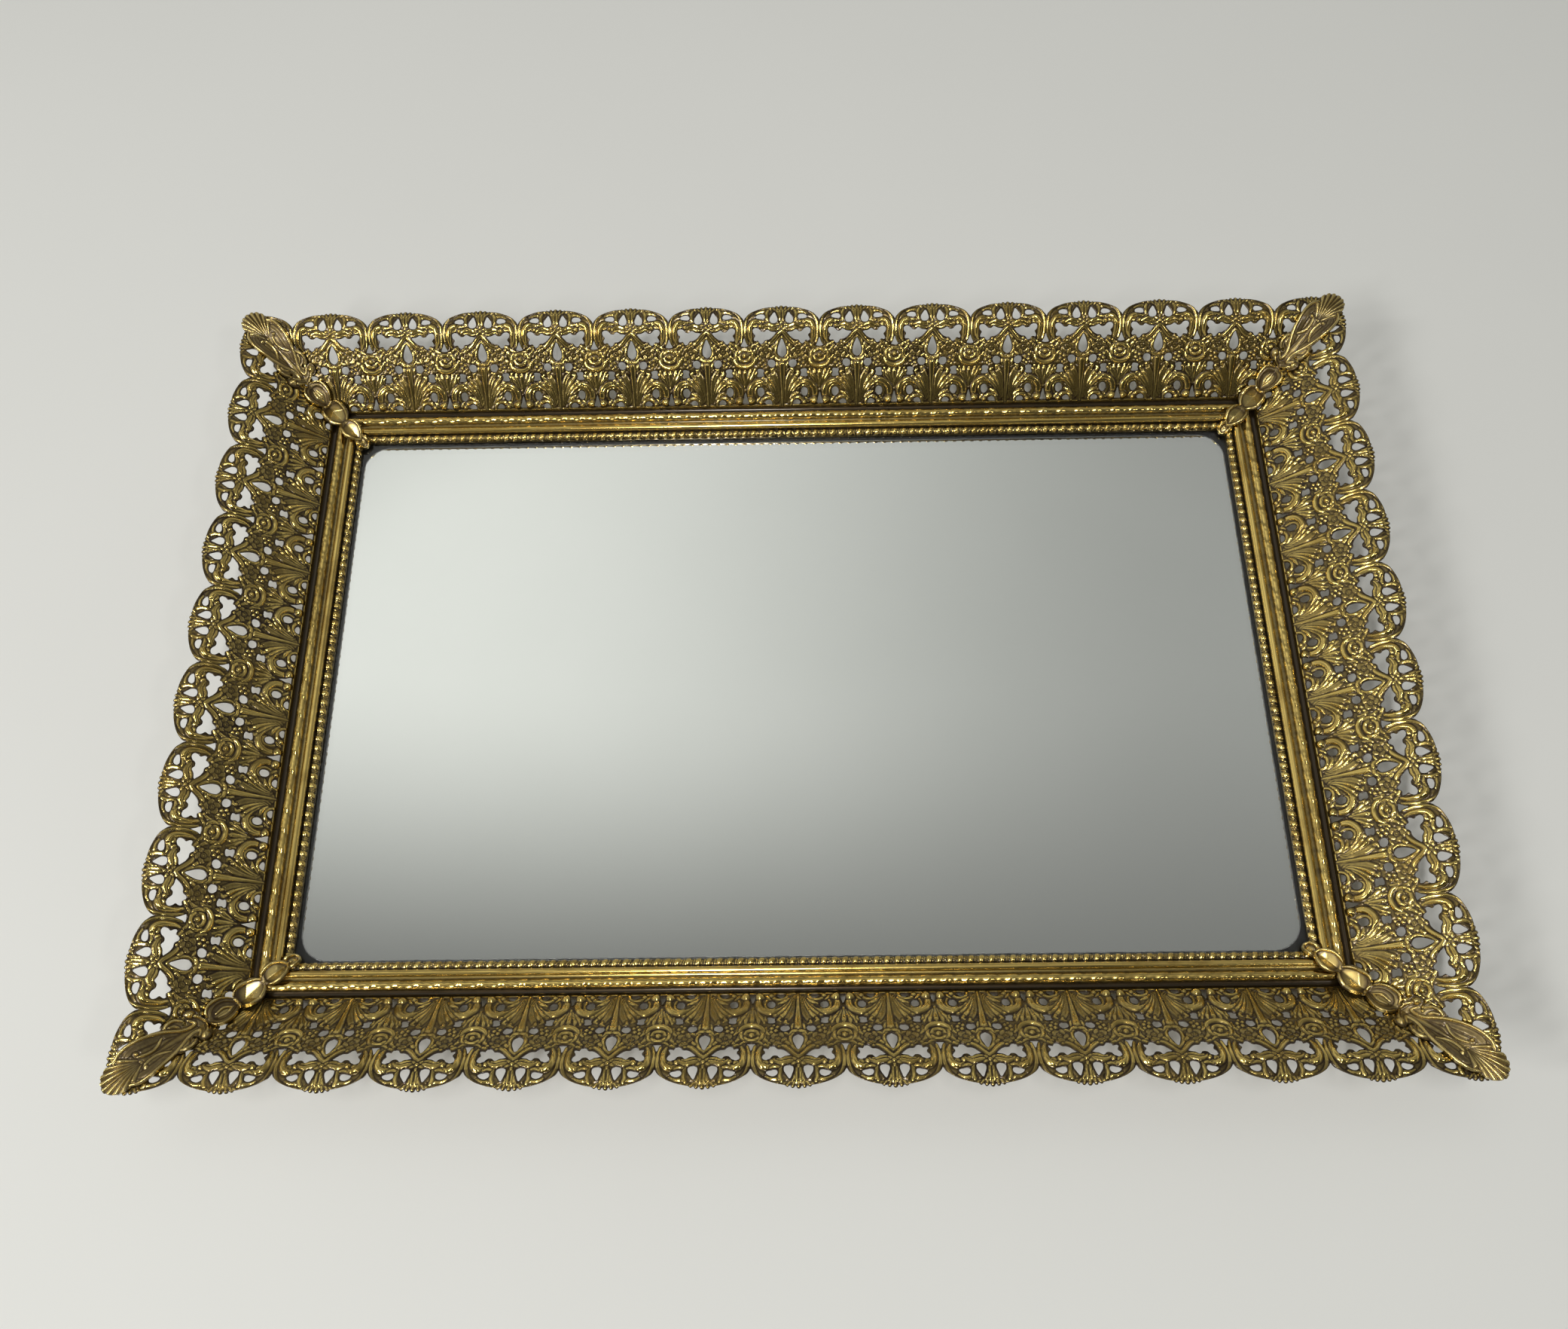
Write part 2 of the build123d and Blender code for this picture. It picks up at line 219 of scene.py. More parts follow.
def press_arch(die):
    """The upper half: rim, scrolls, stem and crown."""
    a = RELIEF
    die.stroke([(0.462, 0.83), (0.476, 0.92), (0.479, 1.02), (0.471, 1.10), (0.436, 1.182), (0.371, 1.240),
                (0.274, 1.274), (0.15, 1.284), (0, 1.287)], [0.020, 0.020, 0.021, 0.024, 0.026], a)
    die.stroke([(0.345, 1.205), (0.285, 1.231), (0.215, 1.234), (0.165, 1.238)],
               [0.010, 0.018, 0.020, 0.014], a * 0.8)
    die.stroke([(0.395, 0.835), (0.418, 0.90), (0.420, 0.98), (0.410, 1.045), (0.374, 1.095),
                (0.318, 1.112), (0.278, 1.090), (0.268, 1.055)],
               [0.014, 0.030, 0.038, 0.044, 0.046, 0.036, 0.028, 0.024], a * 1.3)
    die.stroke([(0.325, 1.06), (0.345, 1.04), (0.365, 1.05)], [0.014, 0.018, 0.010], a * 0.9)
    die.ball((0.272, 1.042), 0.036, a * 1.3)
    die.stroke([(0.178, 1.255), (0.196, 1.20), (0.188, 1.13), (0.182, 1.08)],
               [0.020, 0.022, 0.020, 0.016], a, "vein")
    die.stroke([(0.205, 1.108), (0.245, 1.100), (0.30, 1.118)], [0.012, 0.018, 0.010], a * 0.8)
    die.stroke([(0.02, 1.265), (0.024, 1.20), (0.016, 1.11)], [0.024, 0.018, 0.012], a)
    die.stroke([(0.065, 1.262), (0.047, 1.225), (0.040, 1.18)], [0.018, 0.012, 0.005], a * 0.9)
    die.stroke([(0.035, 1.035), (0.10, 1.045), (0.165, 1.062), (0.225, 1.045), (0.262, 1.015)],
               [0.018, 0.030, 0.034, 0.022, 0.010], a * 1.05, "vein")
    die.stroke([(0.06, 0.998), (0.12, 0.996), (0.175, 1.015), (0.225, 1.012)],
               [0.010, 0.018, 0.018, 0.008], a * 0.9)
    die.stroke([(0.0, 1.045), (0.0, 1.105)], [0.026, 0.014], a * 1.25)
    die.stroke([(0.02, 1.05), (0.068, 1.075)], [0.024, 0.012], a * 1.2)
    die.stroke([(0.015, 1.03), (0.052, 0.998)], [0.022, 0.012], a * 1.2)
    die.ball((0, 1.04), 0.026, a * 1.6)
    for x, y, radius in CROWN:
        die.stroke([(x * 0.75, 1.262), (x, y)], [0.010, radius * 0.9], a * 0.8)


def press_garland(die):
    """The middle: the stems round the teardrop, the small rose and the big rose on the joint."""
    a = RELIEF
    die.stroke([(0.0, 0.905), (0.050, 0.85), (0.078, 0.775), (0.080, 0.70), (0.055, 0.645), (0.0, 0.625)],
               [0.018, 0.020, 0.022, 0.022, 0.020], a * 0.95)
    die.stroke([(0.0, 0.985), (0.045, 0.945), (0.092, 0.885), (0.135, 0.84), (0.185, 0.815)],
               [0.020, 0.026, 0.030, 0.028, 0.018], a * 1.15, "vein")
    die.stroke([(0.10, 0.80), (0.125, 0.765), (0.135, 0.72)], [0.020, 0.022, 0.012], a * 0.9)
    die.stroke([(0.215, 0.825), (0.25, 0.80), (0.27, 0.765)], [0.016, 0.026, 0.012], a)
    die.ball((0.205, 0.838), 0.022, a)
    die.stroke([(0.30, 0.845), (0.335, 0.815), (0.375, 0.805)], [0.018, 0.026, 0.014], a * 1.1)
    die.ball((0.312, 0.785), 0.026, a * 1.1)
    die.stroke([(0.335, 0.76), (0.365, 0.715), (0.36, 0.66)], [0.018, 0.024, 0.014], a, "vein")
    die.stroke([(0.10, 0.655), (0.13, 0.640), (0.165, 0.628)], [0.018, 0.018, 0.010], a * 0.9)
    die.rose((0.215, 0.717), 0.092, a * 1.3, 0.5)
    for x, y, radius in ((0.240, 0.602, 0.026), (0.292, 0.625, 0.026), (0.225, 0.548, 0.024),
                         (0.285, 0.568, 0.026), (0.262, 0.522, 0.018), (0.325, 0.598, 0.018)):
        die.ball((x, y), radius, a * 1.15)
    die.stroke([(0.315, 0.66), (0.345, 0.615), (0.345, 0.55)], [0.014, 0.022, 0.012], a, "vein")
    die.stroke([(0.385, 0.80), (0.425, 0.765), (0.5, 0.758)], [0.014, 0.020, 0.020], a * 0.95)
    die.stroke([(0.395, 0.59), (0.385, 0.66), (0.410, 0.725), (0.455, 0.745)],
               [0.018, 0.026, 0.024, 0.010], a * 1.15)
    die.ball((0.5, 0.655), 0.090, a * 1.35)
    die.stroke([(0.430, 0.70), (0.462, 0.735), (0.5, 0.742)], [0.018, 0.024, 0.022], a * 1.5)
    die.stroke([(0.425, 0.655), (0.448, 0.612), (0.5, 0.592)], [0.014, 0.024, 0.024], a * 1.6)
    die.ball((0.5, 0.668), 0.038, a * 1.85)
    die.stroke([(0.365, 0.615), (0.392, 0.562), (0.445, 0.528), (0.5, 0.518)],
               [0.014, 0.030, 0.036, 0.036], a * 1.45)
    die.stroke([(0.5, 0.24), (0.5, 0.34), (0.5, 0.44), (0.5, 0.475)],
               [0.010, 0.026, 0.030, 0.012], a * 1.1, "vein")
    die.stroke([(0.478, 0.28), (0.452, 0.36), (0.432, 0.43), (0.428, 0.485)],
               [0.008, 0.022, 0.026, 0.012], a * 1.15, "vein")
    die.stroke([(0.45, 0.30), (0.415, 0.37), (0.378, 0.425), (0.365, 0.49)],
               [0.008, 0.020, 0.026, 0.012], a * 1.1, "vein")
    die.stroke([(0.355, 0.385), (0.352, 0.43), (0.335, 0.455)], [0.012, 0.018, 0.008], a * 0.9)


def press_palmette(die):
    """The foot: a fan palmette between two scrolls."""
    a = RELIEF
    die.stroke([(0.03, 0.010), (0.6, 0.010)], [0.012, 0.012], a * 0.6)
    die.stroke([(0.065, 0.05), (0.13, 0.200), (0.195, 0.286), (0.283, 0.324), (0.366, 0.302),
                (0.420, 0.244), (0.436, 0.175), (0.428, 0.110)],
               [0.008, 0.030, 0.044, 0.046, 0.046, 0.042, 0.034], a * 1.3, "vein")
    die.ball((0.425, 0.070), 0.058, a * 1.5, 1.15)
    die.stroke([(0.055, 0.05), (0.105, 0.19), (0.165, 0.285), (0.238, 0.358)],
               [0.006, 0.015, 0.026, 0.022], a * 1.1)
    die.stroke([(0.245, 0.352), (0.262, 0.372), (0.240, 0.388)], [0.016, 0.018, 0.008], a)
    die.stroke([(0.040, 0.04), (0.078, 0.20), (0.125, 0.315), (0.192, 0.400)],
               [0.006, 0.017, 0.032, 0.030], a * 1.25)
    die.stroke([(0.200, 0.405), (0.215, 0.440), (0.185, 0.462)], [0.018, 0.020, 0.008], a * 1.1)
    die.stroke([(0.025, 0.03), (0.050, 0.21), (0.078, 0.345), (0.122, 0.440)],
               [0.007, 0.020, 0.040, 0.036], a * 1.4, "spoon")
    die.stroke([(0.135, 0.450), (0.138, 0.485), (0.100, 0.498)], [0.018, 0.022, 0.008], a * 1.2)
    die.stroke([(0.052, 0.50), (0.066, 0.54), (0.072, 0.575)], [0.016, 0.018, 0.010], a)
    die.stroke([(0, 0.02), (0, 0.22), (0, 0.40), (0, 0.53), (0, 0.605)],
               [0.012, 0.020, 0.036, 0.046, 0.046], a * 1.35, "vein")
    die.stroke([(0.02, 0.605), (0.06, 0.610), (0.088, 0.645)], [0.024, 0.022, 0.012], a * 1.25)
    die.stroke([(0.245, 0.215), (0.262, 0.258), (0.305, 0.272), (0.350, 0.240), (0.362, 0.180),
                (0.345, 0.125)], [0.006, 0.013, 0.014, 0.014, 0.012], a * 0.85)
    die.stroke([(0.105, 0.095), (0.158, 0.150), (0.222, 0.180)], [0.012, 0.030, 0.010], a * 0.95)
    die.stroke([(0.115, 0.020), (0.135, 0.080), (0.195, 0.112), (0.255, 0.098), (0.282, 0.055)],
               [0.014, 0.018, 0.020, 0.022, 0.022], a * 1.05)
    die.ball((0.292, 0.048), 0.032, a * 1.2)
    die.stroke([(0.30, 0.115), (0.325, 0.09), (0.345, 0.055)], [0.010, 0.016, 0.012], a * 0.9)


LOBE_HOLES = [
    closed_path([(0.078, 0.965), (0.14, 0.975), (0.192, 1.000), (0.226, 0.975), (0.268, 0.978),
                 (0.302, 1.012), (0.345, 1.024), (0.380, 1.004), (0.376, 0.960), (0.350, 0.928),
                 (0.368, 0.890), (0.362, 0.858), (0.318, 0.862), (0.288, 0.824), (0.255, 0.824),
                 (0.224, 0.866), (0.175, 0.874), (0.128, 0.902), (0.095, 0.938)]),
    closed_path([(0.092, 1.232), (0.122, 1.200), (0.152, 1.15), (0.148, 1.10), (0.108, 1.083),
                 (0.066, 1.095), (0.052, 1.132), (0.068, 1.185)]),
    closed_path([(0.218, 1.160), (0.232, 1.195), (0.275, 1.207), (0.325, 1.188), (0.338, 1.156),
                 (0.285, 1.140), (0.238, 1.138)]),
    closed_path([(0, 0.885), (0.030, 0.83), (0.052, 0.77), (0.058, 0.72), (0.047, 0.675), (0, 0.646),
                 (-0.047, 0.675), (-0.058, 0.72), (-0.052, 0.77), (-0.03, 0.83)], 4),
    closed_path([(0.098, 0.59), (0.135, 0.612), (0.180, 0.602), (0.192, 0.56), (0.165, 0.520),
                 (0.118, 0.515), (0.092, 0.548)]),
    closed_path([(0.245, 0.475), (0.285, 0.492), (0.328, 0.485), (0.325, 0.435), (0.338, 0.395),
                 (0.29, 0.388), (0.245, 0.400), (0.255, 0.435)]),
    closed_path([(0.29, 0.248), (0.328, 0.230), (0.338, 0.185), (0.322, 0.142), (0.29, 0.130),
                 (0.258, 0.155), (0.248, 0.19), (0.260, 0.230)]),
    closed_path([(0.145, 0.030), (0.150, 0.062), (0.178, 0.085), (0.210, 0.080), (0.232, 0.060),
                 (0.235, 0.035), (0.19, 0.026)]),
    np.array([(0.5, 0.905), (0.483, 0.85), (0.452, 0.79), (0.5, 0.782), (0.548, 0.79), (0.517, 0.85)]),
    np.array([(0.5, 0.195), (0.480, 0.12), (0.455, 0.035), (0.545, 0.035), (0.52, 0.12)]),
]


def lobe_material(x, y):
    """Distance into the lobe's metal from its scalloped outline and its holes, in pitches."""
    power = 1.95
    rise = CREST - VALLEY
    arch = 1 - ((x / 0.5) ** power + (np.clip(y - VALLEY, 0, None) / rise) ** power) ** (1 / power)
    metal = np.where(y > VALLEY, arch * rise, 9.0)
    for at_x, at_y, radius in CROWN:
        metal = np.maximum(metal, radius - np.hypot(x - at_x, y - at_y))
    for hole in LOBE_HOLES:
        metal = np.minimum(metal, inside_distance(x, y, hole))
    return metal


lobe_die = Die((0, 0.5), (-0.02, 1.36), 0.22 * RELIEF)
press_arch(lobe_die)
press_garland(lobe_die)
press_palmette(lobe_die)
lobe_metal = lobe_material(lobe_die.x, lobe_die.y)


# ---- sheets: a flat pattern cut out along its contour, given thickness and bent into place ------
def cut_sheet(xs, ys, metal):
    """Vertices and faces of the part of a grid where metal is positive, its edges on the contour."""
    x, y = np.meshgrid(xs, ys)
    step = min(xs[1] - xs[0], ys[1] - ys[0])
    slope_y, slope_x = np.gradient(metal, ys, xs)
    steep = np.hypot(slope_x, slope_y) + 1e-9
    near = (np.abs(metal) < 0.35 * step * np.maximum(steep, 0.3)) & (steep > 0.2)
    x = np.where(near, x - metal * slope_x / steep**2, x)
    y = np.where(near, y - metal * slope_y / steep**2, y)
    metal = np.where(near, 0.0, metal)
    inside = metal >= 0
    rows, cols = metal.shape
    number = np.arange(rows * cols).reshape(rows, cols)
    corners = [number[:-1, :-1], number[:-1, 1:], number[1:, 1:], number[1:, :-1]]
    flat_inside, flat_metal = inside.ravel(), metal.ravel()
    held = sum(flat_inside[c].astype(int) for c in corners)
    whole = held == 4
    faces = np.stack([c[whole] for c in corners], 1).tolist()
    points = np.stack([x.ravel(), y.ravel()], 1)
    added = []
    crossing = {}

    def cross(a, b):
        """The vertex where the contour cuts the edge between grid points a and b."""
        kept, lost = (a, b) if flat_inside[a] else (b, a)
        if flat_metal[kept] == 0:
            return kept
        key = (min(a, b), max(a, b))
        if key not in crossing:
            share = flat_metal[kept] / (flat_metal[kept] - flat_metal[lost])
            crossing[key] = len(points) + len(added)
            added.append(points[kept] + (points[lost] - points[kept]) * share)
        return crossing[key]

    partial = (held > 0) & (held < 4)
    for cell in zip(*(c[partial].tolist() for c in corners)):
        ring = []
        for here, there in zip(cell, cell[1:] + cell[:1]):
            if flat_inside[here]:
                ring.append(here)
            if flat_inside[here] != flat_inside[there]:
                ring.append(cross(here, there))
        ring = [v for k, v in enumerate(ring) if v != ring[k - 1]]
        if len(set(ring)) == len(ring) > 2:
            faces.append(ring)
    points = np.concatenate([points, np.array(added).reshape(-1, 2)])
    used = np.zeros(len(points), bool)
    for face in faces:
        used[face] = True
    renumber = np.cumsum(used) - 1
    return points[used], [[int(renumber[v]) for v in face] for face in faces]


def mesh_piece(name, points, faces, materials, relief=None, crease=None, flat_faces=0):
    """A mesh object on the tray's body, with its relief kept as an attribute for its material.

    The last flat_faces faces are a sheet's cut edges, shaded flat; crease is an angle for other pieces."""
    mesh = bpy.data.meshes.new(name)
    mesh.from_pydata(np.asarray(points).tolist(), [], faces)
    mesh.update()
    smooth = np.ones(len(mesh.polygons), bool)
    if flat_faces:
        smooth[-flat_faces:] = False
    mesh.polygons.foreach_set("use_smooth", smooth)
    if crease:
        mesh.set_sharp_from_angle(angle=radians(crease))
    if relief is not None:
        attribute = mesh.attributes.new("relief", "FLOAT", "POINT")
        attribute.data.foreach_set("value", np.asarray(relief, np.float32))
    piece = bpy.data.objects.new(name, mesh)
    bpy.context.scene.collection.objects.link(piece)
    for material in materials:
        mesh.materials.append(material)
    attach(piece, "root")
    return piece


def thick_sheet(front, back, faces):
    """A closed shell from a front and a back surface with the same faces, and its count of edge faces."""
    count = len(front)
    edges = {}
    for face in faces:
        for a, b in zip(face, face[1:] + face[:1]):
            edges[(a, b)] = True
    walls = [[b, a, a + count, b + count] for a, b in edges if (b, a) not in edges]
    behind = [[v + count for v in reversed(face)] for face in faces]
    return np.concatenate([front, back]), faces + behind + walls, len(walls)


def gallery_section(run):
    """Outward place, height and leaning normal at a developed distance up from the groove line."""
    bend = 0.6 * MM                       # inside radius where the hem turns into the slope
    turn = np.clip((run + bend) / (2 * bend), 0, 1)
    lean = (pi / 2 - SLOPE) * turn
    turning_out = (run + bend) * turn * 0.5 * cos(SLOPE)
    turning_up = run * (1 - turn * (1 - sin(SLOPE)))
    out = np.where(run < -bend, 0, np.where(run < bend, turning_out, run * cos(SLOPE)))
    up = np.where(run < -bend, run, np.where(run < bend, turning_up, run * sin(SLOPE)))
    flare = np.clip((run - SLOPE_RUN) / FLARE_RADIUS, 0, SLOPE)
    over = np.clip(run - SLOPE_RUN - FLARE_RADIUS * SLOPE, 0, None)
    angle = SLOPE - flare
    bent = run > SLOPE_RUN
    out = np.where(bent, SLOPE_RUN * cos(SLOPE) + FLARE_RADIUS * (sin(SLOPE) - np.sin(angle)) + over, out)
    up = np.where(bent, SLOPE_RUN * sin(SLOPE) + FLARE_RADIUS * (np.cos(angle) - cos(SLOPE)), up)
    lean = np.where(bent, pi / 2 - SLOPE + flare, lean)
    return out, up, -np.cos(lean), np.sin(lean)


def clear_of_leaf(outward, beyond):
    """0 under a corner leaf, where the relief is pressed flat, 1 away from it.

    outward and beyond are a point's places beyond the two outer faces of the rails that meet there."""
    across, diagonal = (outward - beyond) / sqrt(2), (outward + beyond) / sqrt(2)
    metal = leaf_die.sample(leaf_metal, np.abs(across), diagonal)
    metal = np.where(np.abs(across) > LEAF_HALF, -1.0, metal)
    share = np.clip(-metal / 0.025, 0, 1)
    return 0.12 + 0.88 * share * share * (3 - 2 * share)


def side_axes(side):
    """Outward and along directions of a side, and its two half sizes."""
    out = np.array([*OUTWARD[side], 0.0])
    along = np.array([out[1], -out[0], 0.0])
    reach, half = (BASE_Y, BASE_X) if out[0] == 0 else (BASE_X, BASE_Y)
    return out, along, reach, half


def gallery(side, material):
    """One stamped strip, cut off at the mitres."""
    out, along, reach, half = side_axes(side)
    step = 1 / 92
    end = (half + RIM_REACH) / PITCH + 0.1
    xs = np.arange(-end, end + step, step)
    ys = np.arange(-HEM / PITCH, CREST + 0.06, step)
    x, y = np.meshgrid(xs, ys)
    folded = np.abs((x - LOBE_SHIFT[side] + 0.5) % 1.0 - 0.5)
    metal = lobe_die.sample(lobe_metal, folded, y)
    metal = np.where(y < 0.02, 9.0, metal)
    outward, _, _, _ = gallery_section(y * PITCH)
    metal = np.minimum(metal, (half / PITCH + outward / PITCH - np.abs(x)) * 0.8)
    metal = np.minimum(metal, y - ys[0])
    flat, faces = cut_sheet(xs, ys, metal)
    folded = np.abs((flat[:, 0] - LOBE_SHIFT[side] + 0.5) % 1.0 - 0.5)
    relief = lobe_die.sample(lobe_die.height, folded, flat[:, 1]) * (flat[:, 1] > -0.01)
    outward, up, lean_out, lean_up = gallery_section(flat[:, 1] * PITCH)
    relief *= clear_of_leaf(outward / PITCH, np.abs(flat[:, 0]) - half / PITCH)
    base = (
        np.outer(flat[:, 0] * PITCH, along)
        + np.outer(reach + outward, out)
        + np.outer(GROOVE_Z + up, (0, 0, 1))
    )
    normal = np.outer(lean_out, out) + np.outer(lean_up, (0, 0, 1))
    raised = (relief * PITCH)[:, None]
    front = base + normal * raised
    back = base + normal * (raised - METAL)
    points, faces, cut_faces = thick_sheet(front, back, faces)
    polish_and_shade = lobe_die.sample(lobe_die.polish_and_shade, folded, flat[:, 1]) * (flat[:, 1] > -0.01)
    # painted shade: the metal is painted darker towards every cut edge of the holes and the rim, partly as
    # tarnish and partly as shade
    from_edge = np.clip(lobe_die.sample(lobe_metal, folded, flat[:, 1]) / EDGE_TARNISH_AND_SHADE, 0, 1)
    polish_and_shade = np.tile(polish_and_shade * (0.15 + 0.85 * from_edge), 2)
    piece = mesh_piece(side + "_gallery_lace", points, faces, [material], polish_and_shade, flat_faces=cut_faces)
    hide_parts(side + "_gallery")
    return piece


# ---- materials -------------------------------------------------------------------------------
class Shader:
    """A small helper to wire nodes."""

    def __init__(self, name):
        self.material = bpy.data.materials.new(name)
        self.material.use_nodes = True
        self.tree = self.material.node_tree
        self.surface = self.tree.nodes["Principled BSDF"]
        self.place = self.add("ShaderNodeTexCoord").outputs["Object"]

    def add(self, kind, **settings):
        node = self.tree.nodes.new(kind)
        for key, value in settings.items():
            setattr(node, key, value)
        return node

    def join(self, source, target):
        if hasattr(source, "is_output"):
            self.tree.links.new(source, target)
        else:
            target.default_value = source

    def give(self, socket, value):
        """Sets one of the surface's inputs."""
        self.join(value, self.surface.inputs[socket])

    def noise(self, scale, detail=3.0, stretch=(1, 1, 1), roughness=0.55):
        mapping = self.add("ShaderNodeMapping")
        mapping.inputs["Scale"].default_value = stretch
        self.join(self.place, mapping.inputs["Vector"])
        texture = self.add("ShaderNodeTexNoise")
        texture.inputs["Scale"].default_value = scale
        texture.inputs["Detail"].default_value = detail
        texture.inputs["Roughness"].default_value = roughness
        self.join(mapping.outputs["Vector"], texture.inputs["Vector"])
        return texture.outputs["Fac"]

    def maths(self, operation, a, b=0.0, clamp=False):
        node = self.add("ShaderNodeMath", operation=operation, use_clamp=clamp)
        self.join(a, node.inputs[0])
        self.join(b, node.inputs[1])
        return node.outputs[0]

    def ranged(self, value, low, high, to_low=0.0, to_high=1.0):
        node = self.add("ShaderNodeMapRange", interpolation_type="SMOOTHSTEP")
        self.join(value, node.inputs["Value"])
        for key, number in (("From Min", low), ("From Max", high), ("To Min", to_low), ("To Max", to_high)):
            node.inputs[key].default_value = number
        return node.outputs["Result"]

    def mix(self, share, first, second):
        node = self.add("ShaderNodeMix", data_type="RGBA")
        self.join(share, node.inputs[0])
        self.join((*first, 1) if isinstance(first, tuple) else first, node.inputs[6])
        self.join((*second, 1) if isinstance(second, tuple) else second, node.inputs[7])
        return node.outputs[2]

    def bump(self, height, distance, strength=1.0):
        node = self.add("ShaderNodeBump")
        node.inputs["Distance"].default_value = distance
        node.inputs["Strength"].default_value = strength
        self.join(height, node.inputs["Height"])
        self.give("Normal", node.outputs["Normal"])


def gilt(name, bright, dark, wear_and_shade=0.5, shine=0.22, clean_and_unshaded_at=0.42, has_relief=True):
    """Gold-washed brass: bright where the relief stands up, brown in its grooves and along cut edges, partly
    tarnish and partly painted shade.
    """
    s = Shader(name)
    blotch = s.noise(70.0, 4.0)
    fine = s.noise(700.0, 3.0)
    if has_relief:
        height = s.add("ShaderNodeAttribute", attribute_name="relief").outputs["Fac"]
    else:
        height = s.ranged(s.noise(200.0, 2.0), 0.3, 0.7)
    uneven = s.maths("ADD", s.maths("MULTIPLY", s.maths("SUBTRACT", blotch, 0.5), wear_and_shade),
                     s.maths("MULTIPLY", s.maths("SUBTRACT", fine, 0.5), 0.3))
    clean_and_unshaded = s.ranged(s.maths("ADD", height, uneven), 0.0, clean_and_unshaded_at)
    aged = tuple(0.62 * channel for channel in bright)
    gold = s.mix(s.ranged(blotch, 0.42, 0.68), bright, (aged[0], aged[1] * 0.93, aged[2] * 0.8))
    # painted shade: the dark colour goes where the relief attribute is low, in grooves and along cut edges,
    # partly as tarnish and partly as shade
    s.give("Base Color", s.mix(clean_and_unshaded, dark, gold))
    s.give("Metallic", s.ranged(clean_and_unshaded, 0.0, 1.0, 0.80, 1.0))
    dulled = s.ranged(clean_and_unshaded, 0.0, 1.0, shine + 0.12, shine)
    s.give("Roughness", s.maths("ADD", dulled, s.ranged(blotch, 0.35, 0.7, -0.02, 0.06)))
    s.give("Coat Weight", 0.5)
    s.give("Coat Roughness", 0.09)
    s.bump(s.maths("ADD", fine, s.maths("MULTIPLY", s.noise(180.0, 3.0), 1.5)), 0.00005, 0.30)
    return s.material


# ---- rails: ridged moulding with a twisted rope ridge and a beaded inner strip ------------------
ROPE_PITCH = 7.2 * MM
ROPE_DEPTH = 0.18 * MM
BEAD_PITCH = 3.57 * MM
BEAD_DEPTH = 0.40 * MM
WALL = 1.0 * MM


def arc(first, middle, last, count):
    """Points on the circle through three points, and their shares of the way along it."""
    (ax, ay), (bx, by), (cx, cy) = first, middle, last
    d = 2 * (ax * (by - cy) + bx * (cy - ay) + cx * (ay - by))
    x = ((ax**2 + ay**2) * (by - cy) + (bx**2 + by**2) * (cy - ay) + (cx**2 + cy**2) * (ay - by)) / d
    y = ((ax**2 + ay**2) * (cx - bx) + (bx**2 + by**2) * (ax - cx) + (cx**2 + cy**2) * (bx - ax)) / d
    start, end = atan2(ay - y, ax - x), atan2(cy - y, cx - x)
    sweep = (end - start + pi) % (2 * pi) - pi
    share = np.linspace(0, 1, count)
    angle = start + sweep * share
    radius = sqrt((ax - x) ** 2 + (ay - y) ** 2)
    return np.stack([x + radius * np.cos(angle), y + radius * np.sin(angle)], 1), share


def rail_section():
    """The closed section, from the inner lip over the ridges and back underneath.

    Columns: place from the outer face, height, share across the bead strip or the rope (0 off them), and how
    bright the metal is painted: rubbed bright on the ridges, darker in the grooves and down the outer face,
    partly tarnish and partly painted shade."""
    inner = -RAIL_WIDTH / MM
    lip, top = LIP_TOP / MM, GROOVE_Z / MM
    glass, low, roof = GLASS_HIGH / MM, RAIL_LOW / MM, GROOVE_Z / MM - 2.9
    rows = []

    def run(points, bead=None, rope=None, exposure_and_shade=(0.3, 0.3, 0.3)):
        wear_and_shade = np.interp(np.linspace(0, 1, len(points)), (0, 0.5, 1), exposure_and_shade)
        for k, (x, z) in enumerate(points):
            rows.append((x, z, 0 if bead is None else bead[k], 0 if rope is None else rope[k], wear_and_shade[k]))

    strip, share = arc((inner, lip - 0.1), (-10.9, top - 2.0), (-9.7, top - 2.4), 15)
    run(strip, bead=share, exposure_and_shade=(0.2, 0.75, 0.05))
    run(arc((-9.5, top - 1.9), (-8.3, top - 0.4), (-6.9, top - 1.2), 13)[0], exposure_and_shade=(0.05, 1.2, 0.55))
    run(arc((-6.9, top - 1.2), (-6.3, top - 1.3), (-5.7, top - 0.9), 5)[0][1:], exposure_and_shade=(0.35, 0.15, 0.2))
    rope, share = arc((-5.7, top - 0.9), (-4.0, top + 0.6), (-2.3, top - 0.9), 19)
    run(rope[1:], rope=share[1:], exposure_and_shade=(0.3, 1.2, 0.1))
    # painted shade: the outer slope down into the gap at the gallery's hem is painted dark
    run(arc((-2.3, top - 0.9), (-1.2, top - 1.1), (-0.2, top - 0.1), 7)[0][1:], exposure_and_shade=(-0.5, -0.7, 0.3))
    run([(0, top - 0.4), (0, low), (-9.5, low), (-9.5, low + 0.8), (-1, low + 0.8), (-1, roof)])
    run([(-9.2, roof), (-9.2, glass), (inner, glass)])
    return np.array(rows)


